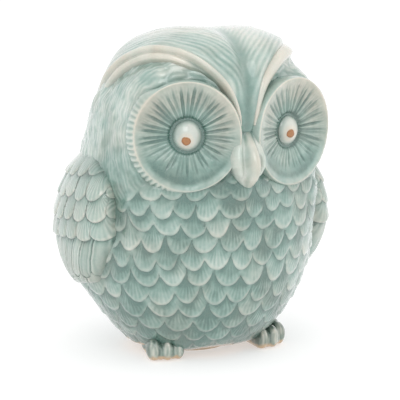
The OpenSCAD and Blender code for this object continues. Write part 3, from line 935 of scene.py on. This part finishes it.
def foot_balls(side):
    """The foot's balls of clay, each as (middle, radii)."""
    toes = TOES[side]
    for x, y, w, turn in toes:
        for f in np.linspace(0, 1, TOE_BALLS):
            yield ((x + turn * f, y + 1.4 + TOE_LONG * f, 4.5 + 0.5 * f),
                   (w * (1 - 0.12 * f), 4.6, TOE_TALL * (1 - 0.06 * f)))
    for x, y in zip(PADS[side], (-4, -1)):
        yield (x, y, 3.4), (4.0, 7.4, 3.9)
    if side > 0:
        x, y = toes[2][:2]
        yield (x - 0.7, y + 6.0, 6.2), (3.5, 5.5, 4.6)
    # webs of clay that half fill the gaps between the toes
    for a, b in zip(toes, toes[1:]):
        yield ((a[0] + b[0]) / 2, (a[1] + b[1]) / 2 + 2.6, 3.7), (2.4, 5.0, 4.0)


def joined_balls(balls, name):
    """One smooth skin over all the balls."""
    bits = []
    for (x, y, z), radii in balls:
        bpy.ops.mesh.primitive_uv_sphere_add(segments=36, ring_count=20, radius=1,
                                             location=Vector((x, y + HEAD_Y, z)) * MM)
        bits.append(bpy.context.object)
        bits[-1].scale = Vector(radii) * MM
    for ob in bits:
        ob.select_set(True)
    bpy.context.view_layer.objects.active = bits[0]
    bpy.ops.object.join()
    ob = bpy.context.object
    bpy.ops.object.transform_apply(location=True, rotation=True, scale=True)
    ob.name = name
    remesh = ob.modifiers.new("remesh", "REMESH")
    remesh.mode = "VOXEL"
    remesh.voxel_size = VOXEL * MM
    smooth = ob.modifiers.new("smooth", "SMOOTH")
    smooth.factor = 0.5
    smooth.iterations = 5
    bake(ob)
    return ob


def make_foot(side, name):
    ob = joined_balls(foot_balls(side), name)
    me = ob.data
    p = points_of(me)
    x, y, z = p.T
    # the soles are pressed flat onto the ground
    z[:] = np.where(z < 0.5, 0.5 + (z - 0.5) * 0.35, z)
    z -= z.min() * ramp(6, 0, z)
    rough = np.stack([noise(p, 3, 90 + i) for i in range(3)], -1)
    p += 0.12 * rough * ramp(0.2, 1.5, z)[:, None]
    toes = np.array(TOES[side])
    gap = np.full(len(p), 9.0)
    for toe_x, toe_y, w, turn in toes:
        middle = toe_x + turn * np.clip((y - toe_y - HEAD_Y - 1.4) / TOE_LONG, -0.3, 1)
        gap = np.minimum(gap, np.abs(x - middle) / w)
    back_of = y - HEAD_Y - np.interp(x, toes[:, 0], toes[:, 1])
    # Darker between the toes, partly glaze pooled and partly painted shade; painted shadow behind
    # and above the toes, under the belly; paler towards the toes' tips.
    thick = (0.64 + 0.46 * ramp(0.35, 0.90, gap) + 0.40 * noise(p * [1, 1, 0.25], 1.3, 95)
             + 0.55 * ramp(0.0, 4.5, back_of) * ramp(2.0, 5.0, z)
             - 0.16 * ramp(0.0, -3.0, back_of))
    clay = ramp(4.2, 0.8, z + 0.9 * noise(p, 1.8, 97)) * 0.86
    ray_x = x.copy()
    x *= side
    me.vertices.foreach_set("co", (p * MM).ravel())
    if side < 0:
        me.flip_normals()
    set_values(me, {"glaze": np.clip(thick, 0, 1.1), "clay": clay, "warm": 0 * thick + 0.60,
                    "ray": 2 * math.pi * (ray_x + 0.5 * noise(p, 2.5, 98)) / 1.5,
                    "streak": 0.9 * ramp(1.0, 3.0, z) * ramp(3.5, 0.5, back_of)})
    me.update()
    return ob


# ---- materials
def rgb(*levels):
    """8-bit display colour to scene-linear."""
    shown = [v / 255 for v in levels]
    return (*(c / 12.92 if c <= 0.04045 else ((c + 0.055) / 1.055) ** 2.4 for c in shown), 1.0)


def greys(*stops):
    return [(pos, (v, v, v, 1.0)) for pos, v in stops]


class Nodes:
    """A material of one Principled shader, and short ways to add nodes before it."""

    def __init__(self, name):
        self.mat = bpy.data.materials.new(name)
        self.mat.use_nodes = True
        self.tree = self.mat.node_tree
        self.tree.nodes.clear()
        self.bsdf = self.add("ShaderNodeBsdfPrincipled")
        self.out = self.add("ShaderNodeOutputMaterial", {0: self.bsdf.outputs[0]})

    def link(self, a, b):
        self.tree.links.new(a, b)

    def feed(self, inputs, values):
        """Sets each input, or links it when its value is another node's output."""
        for k, v in values.items():
            if isinstance(v, (int, float, tuple)):
                inputs[k].default_value = v
            else:
                self.link(v, inputs[k])

    def add(self, kind, inputs=None, **props):
        node = self.tree.nodes.new(kind)
        for k, v in props.items():
            setattr(node, k, v)
        self.feed(node.inputs, inputs or {})
        return node

    def set(self, **values):
        self.feed(self.bsdf.inputs, {k.replace("_", " "): v for k, v in values.items()})

    def attribute(self, name):
        return self.add("ShaderNodeAttribute", attribute_name=name,
                        attribute_type="GEOMETRY").outputs["Fac"]

    def coords(self, scale):
        place = self.add("ShaderNodeTexCoord").outputs["Object"]
        return self.add("ShaderNodeMapping", {"Vector": place, "Scale": (scale,) * 3}).outputs[0]

    def noise(self, scale, detail=3.0, rough=0.5):
        return self.add("ShaderNodeTexNoise", {"Vector": self.coords(scale), "Scale": 1.0,
                                               "Detail": detail, "Roughness": rough}).outputs[0]

    def math(self, op, a, b, clamp=False):
        return self.add("ShaderNodeMath", {0: a, 1: b}, operation=op, use_clamp=clamp).outputs[0]

    def plus(self, a, b, clamp=False):
        return self.math("ADD", a, b, clamp)

    def times(self, a, b):
        return self.math("MULTIPLY", a, b)

    def swing(self, a, amount):
        """a value about 0.5, brought about nought and scaled."""
        return self.times(self.math("SUBTRACT", a, 0.5), amount)

    def ramp(self, value, stops):
        r = self.add("ShaderNodeValToRGB", {"Fac": value})
        e = r.color_ramp.elements
        while len(e) < len(stops):
            e.new(0.5)
        for el, (pos, col) in zip(e, stops):
            el.position, el.color = pos, col
        return r.outputs["Color"]

    def mix(self, fac, a, b):
        return self.add("ShaderNodeMix", {0: fac, 6: a, 7: b}, data_type="RGBA").outputs[2]

    def bump(self, height, distance, strength, **under):
        return self.add("ShaderNodeBump", {"Height": height, "Distance": distance,
                                           "Strength": strength, **under}).outputs[0]


CLAY = rgb(190, 160, 124)
CRACK = rgb(146, 160, 146)
# By the distance to a feather's edge: 0.5 on it, and 0.125 more for each mm inwards
RIM_STOPS = greys((0.494, 0.0), (0.519, 1.0), (0.59, 0.75), (0.67, 0.0))
POOL_AND_SHADOW_STOPS = greys((0.17, 0.0), (0.35, 0.30), (0.44, 0.75), (0.485, 1.0), (0.506, 0.0))
# From thin glaze to thick, with painted shade counted as thicker, where it is cool and where it
# is warm
GLAZE_STOPS = [(0.0, rgb(202, 207, 199)), (0.25, rgb(178, 192, 183)), (0.5, rgb(144, 168, 159)),
               (0.75, rgb(110, 142, 132)), (1.0, rgb(74, 110, 101))]
WARM_STOPS = [(0.0, rgb(205, 198, 183)), (0.4, rgb(170, 169, 155)), (1.0, rgb(90, 102, 91))]
EYE_STOPS = [(0.0, rgb(194, 199, 191)), (0.4, rgb(166, 180, 172)), (1.0, rgb(104, 128, 119))]
PUPIL_STOPS = [(0.02, rgb(176, 138, 96)), (0.14, rgb(140, 90, 48)), (0.45, rgb(164, 110, 62)),
               (1.0, rgb(150, 104, 62))]


def glaze_material(name, stops, crackle=0.16, clay=True):
    g = Nodes(name)
    # glaze breaks pale over each feather's edge; the dark line beneath it is partly glaze pooled
    # there and partly painted shadow of the overlapping edge
    where = g.plus(g.times(g.attribute("phi"), 0.125), 0.5)
    trust = g.attribute("trust")
    rim = g.times(g.ramp(where, RIM_STOPS), trust)
    pool = g.times(g.ramp(where, POOL_AND_SHADOW_STOPS), trust)
    patchy = g.ramp(g.noise(330, 2.0), greys((0.3, 0.25), (0.62, 1.0)))
    patchy_rim = g.times(rim, patchy)
    wave = g.math("SINE", g.attribute("ray"), 0.0)
    wave = g.times(g.times(wave, g.attribute("streak")), patchy)
    thick = g.plus(g.attribute("glaze"), g.swing(g.noise(95, 3.0, 0.55), 0.38))
    thick = g.plus(thick, g.swing(g.noise(900, 2.0, 0.6), 0.13))
    thick = g.plus(thick, g.times(patchy_rim, -0.22))
    thick = g.plus(thick, g.times(pool, 0.27))
    thick = g.plus(thick, g.times(wave, -0.18), True)
    blotch = g.ramp(g.noise(70, 2.0), greys((0.44, 0), (0.64, 1)))
    warm = g.plus(g.times(g.attribute("warm"), 0.80), g.times(patchy_rim, 0.30))
    warm = g.plus(warm, g.times(blotch, 0.34), True)
    base = g.mix(warm, g.ramp(thick, stops), g.ramp(thick, WARM_STOPS))
    # fine crackle under the gloss
    v = g.add("ShaderNodeTexVoronoi", feature="DISTANCE_TO_EDGE")
    g.feed(v.inputs, {"Vector": g.coords(420), "Scale": 1.0})
    line = g.ramp(v.outputs["Distance"], greys((0.0, 1), (0.045, 0)))
    base = g.mix(g.times(line, crackle), base, CRACK)
    if clay:
        bare = g.plus(g.attribute("clay"), g.swing(g.noise(240, 2.0), 0.5), True)
        base = g.mix(g.ramp(bare, greys((0.45, 0), (0.8, 1))), base, CLAY)
    g.set(Base_Color=base, Roughness=0.34, IOR=1.5)
    g.set(Coat_Weight=1.0, Coat_Roughness=0.07, Coat_IOR=1.65)
    g.set(Subsurface_Weight=0.12, Subsurface_Scale=0.004, Subsurface_Radius=(0.6, 1.0, 0.8))
    n = g.bump(g.noise(260), 0.0004, 0.35)
    relief = g.plus(g.math("SUBTRACT", g.times(rim, 0.5), pool), g.times(wave, 0.45))
    g.set(Normal=g.bump(relief, 0.00035, 0.8, Normal=n))
    return g.mat


def pupil_material():
    g = Nodes("pupil")
    t = g.plus(g.attribute("core"), g.swing(g.noise(900), 0.9), True)
    g.set(Base_Color=g.ramp(t, PUPIL_STOPS), Roughness=0.35, Coat_Weight=0.6,
          Coat_Roughness=0.15, Normal=g.bump(g.noise(1600), 0.0001, 0.4))
    return g.mat


def plain_material(name, colour_a, colour_b, rough):
    g = Nodes(name)
    base = g.ramp(g.noise(420, 5.0, 0.6), [(0.35, colour_a), (0.68, colour_b)])
    g.set(Base_Color=base, Roughness=rough,
          Normal=g.bump(g.noise(1300, 4.0, 0.6), 0.0002, 0.4))
    return g.mat


def floor_material():
    """Bright paper; seen from below it is clear, so that the underside shows."""
    g = Nodes("floor")
    base = g.ramp(g.noise(3, 2.0), greys((0.3, 0.55), (0.7, 0.57)))
    g.set(Base_Color=base, Emission_Color=base, Emission_Strength=0.85, Roughness=0.9)
    below = g.add("ShaderNodeNewGeometry").outputs["Backfacing"]
    clear = g.add("ShaderNodeBsdfTransparent").outputs[0]
    both = g.add("ShaderNodeMixShader", {0: below, 1: g.bsdf.outputs[0], 2: clear})
    g.link(both.outputs[0], g.out.inputs[0])
    return g.mat


MATERIALS = {
    "celadon_glaze": glaze_material("celadon", GLAZE_STOPS),
    "eye_glaze": glaze_material("eye_white", EYE_STOPS, crackle=0.1, clay=False),
    "pupil_clay": pupil_material(),
    "bare_clay": plain_material("bare_stoneware", rgb(186, 164, 140), rgb(208, 190, 168), 0.75),
    "stopper_rubber": plain_material("stopper_rubber", rgb(222, 221, 214), rgb(231, 230, 224),
                                     0.5)}


# ---- camera, light, floor
CAM_TURN, CAM_RISE, CAM_FAR = math.radians(-25.2), math.radians(9.0), 600
CAM_TARGET = np.array([0, AXIS_Y - 15.0, 69.0])
CAM_ASIDE = 0.36
AIM_ASIDE, AIM_BELOW = 3.30, 5.21
LENS = 132.1
FLOOR_HALF, FLOOR_Z = 4000, -0.2
SKY = 1.06


def face_towards(ob, at, towards):
    ob.location = Vector(at)
    ob.rotation_euler = (Vector(towards) - Vector(at)).to_track_quat("-Z", "Y").to_euler()


def make_camera():
    back = bearing(CAM_TURN, CAM_RISE)
    right = np.array([math.cos(CAM_TURN), math.sin(CAM_TURN), 0.0])
    up = np.cross(back, right)
    eye = CAM_TARGET + back * CAM_FAR - right * CAM_ASIDE
    aim = CAM_TARGET - right * AIM_ASIDE - up * AIM_BELOW
    data = bpy.data.cameras.new("camera")
    data.lens = LENS
    cam = new_object("camera", data)
    face_towards(cam, eye * MM, aim * MM)
    bpy.context.scene.camera = cam


def area_light(name, at, size, power):
    data = bpy.data.lights.new(name, "AREA")
    data.size = size
    data.energy = power
    face_towards(new_object(name, data), at, (0, 0, 0.07))


def make_studio():
    world = bpy.data.worlds.new("studio")
    bpy.context.scene.world = world
    world.use_nodes = True
    background = world.node_tree.nodes["Background"].inputs
    background["Color"].default_value = (1.0, 1.0, 1.0, 1.0)
    background["Strength"].default_value = SKY
    area_light("key", (-0.55, -0.75, 0.85), 0.7, 2.8)
    area_light("fill", (0.8, -0.55, 0.45), 0.8, 0.8)
    corners = ((-1, -1), (1, -1), (1, 1), (-1, 1))
    floor = mesh_object("floor", [(x * FLOOR_HALF, y * FLOOR_HALF, FLOOR_Z) for x, y in corners],
                        [(0, 1, 2, 3)], {})
    floor.data.materials.append(floor_material())
    view = bpy.context.scene.view_settings
    view.view_transform = "Standard"
    view.look = "None"
    view.exposure = 0.0


# ---- the bank, piece by piece
def dress(ob, slot):
    ob.data.materials.clear()
    ob.data.materials.append(MATERIALS[slot])


def fit(ob, node, slot="celadon_glaze"):
    dress(ob, slot)
    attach(ob, "bank")
    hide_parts(node)


make_camera()
make_studio()
fit(make_shell(), "shell")
fit(make_beak(), "beak")
for side, word in ((-1, "right"), (1, "left")):
    fit(make_disc(side, word + "_disc"), word + "_eye_disc")
    fit(make_eyeball(side, word + "_ball"), word + "_eyeball", "eye_glaze")
    fit(make_pupil(side, word + "_spot"), word + "_pupil", "pupil_clay")
    fit(make_brow(side, word + "_ridge"), word + "_brow")
    fit(make_wing(side, word + "_wing_piece"), word + "_wing")
    fit(make_foot(side, word + "_foot_piece"), word + "_foot")
for node, slot in (("base_plate", "bare_clay"), ("stopper", "stopper_rubber")):
    dress(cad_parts[node], slot)
